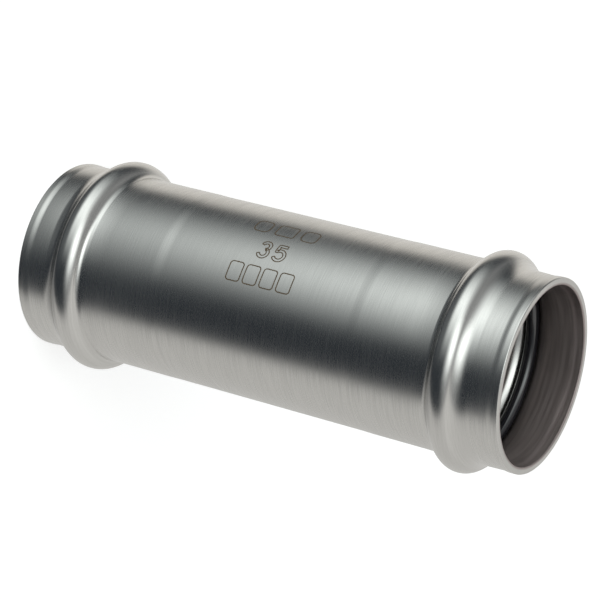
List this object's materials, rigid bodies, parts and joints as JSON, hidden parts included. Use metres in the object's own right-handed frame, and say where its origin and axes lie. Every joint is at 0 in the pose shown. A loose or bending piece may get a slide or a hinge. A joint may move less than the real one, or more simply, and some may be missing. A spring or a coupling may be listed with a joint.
{
  "type": "press fit slip coupling",
  "caption": "Straight stainless press-fit slip coupling: a thin tube open at both ends, with a rolled bead near each end that holds a black rubber seal ring.",
  "frame": {"origin": "centre of the lower end face, on the bore's axis", "axes": "+Z along the bore, up; the part stands on its lower end face"},
  "size_m": [0.0439, 0.044, 0.1094],
  "materials": {
    "steel": "fine satin tube with brighter rolled beads",
    "seal_rubber": "smooth, lightly greased"
  },
  "bodies": {
    "root": {"coupling_body": "steel", "upper_seal": "seal_rubber", "lower_seal": "seal_rubber"}
  },
  "joints": []
}
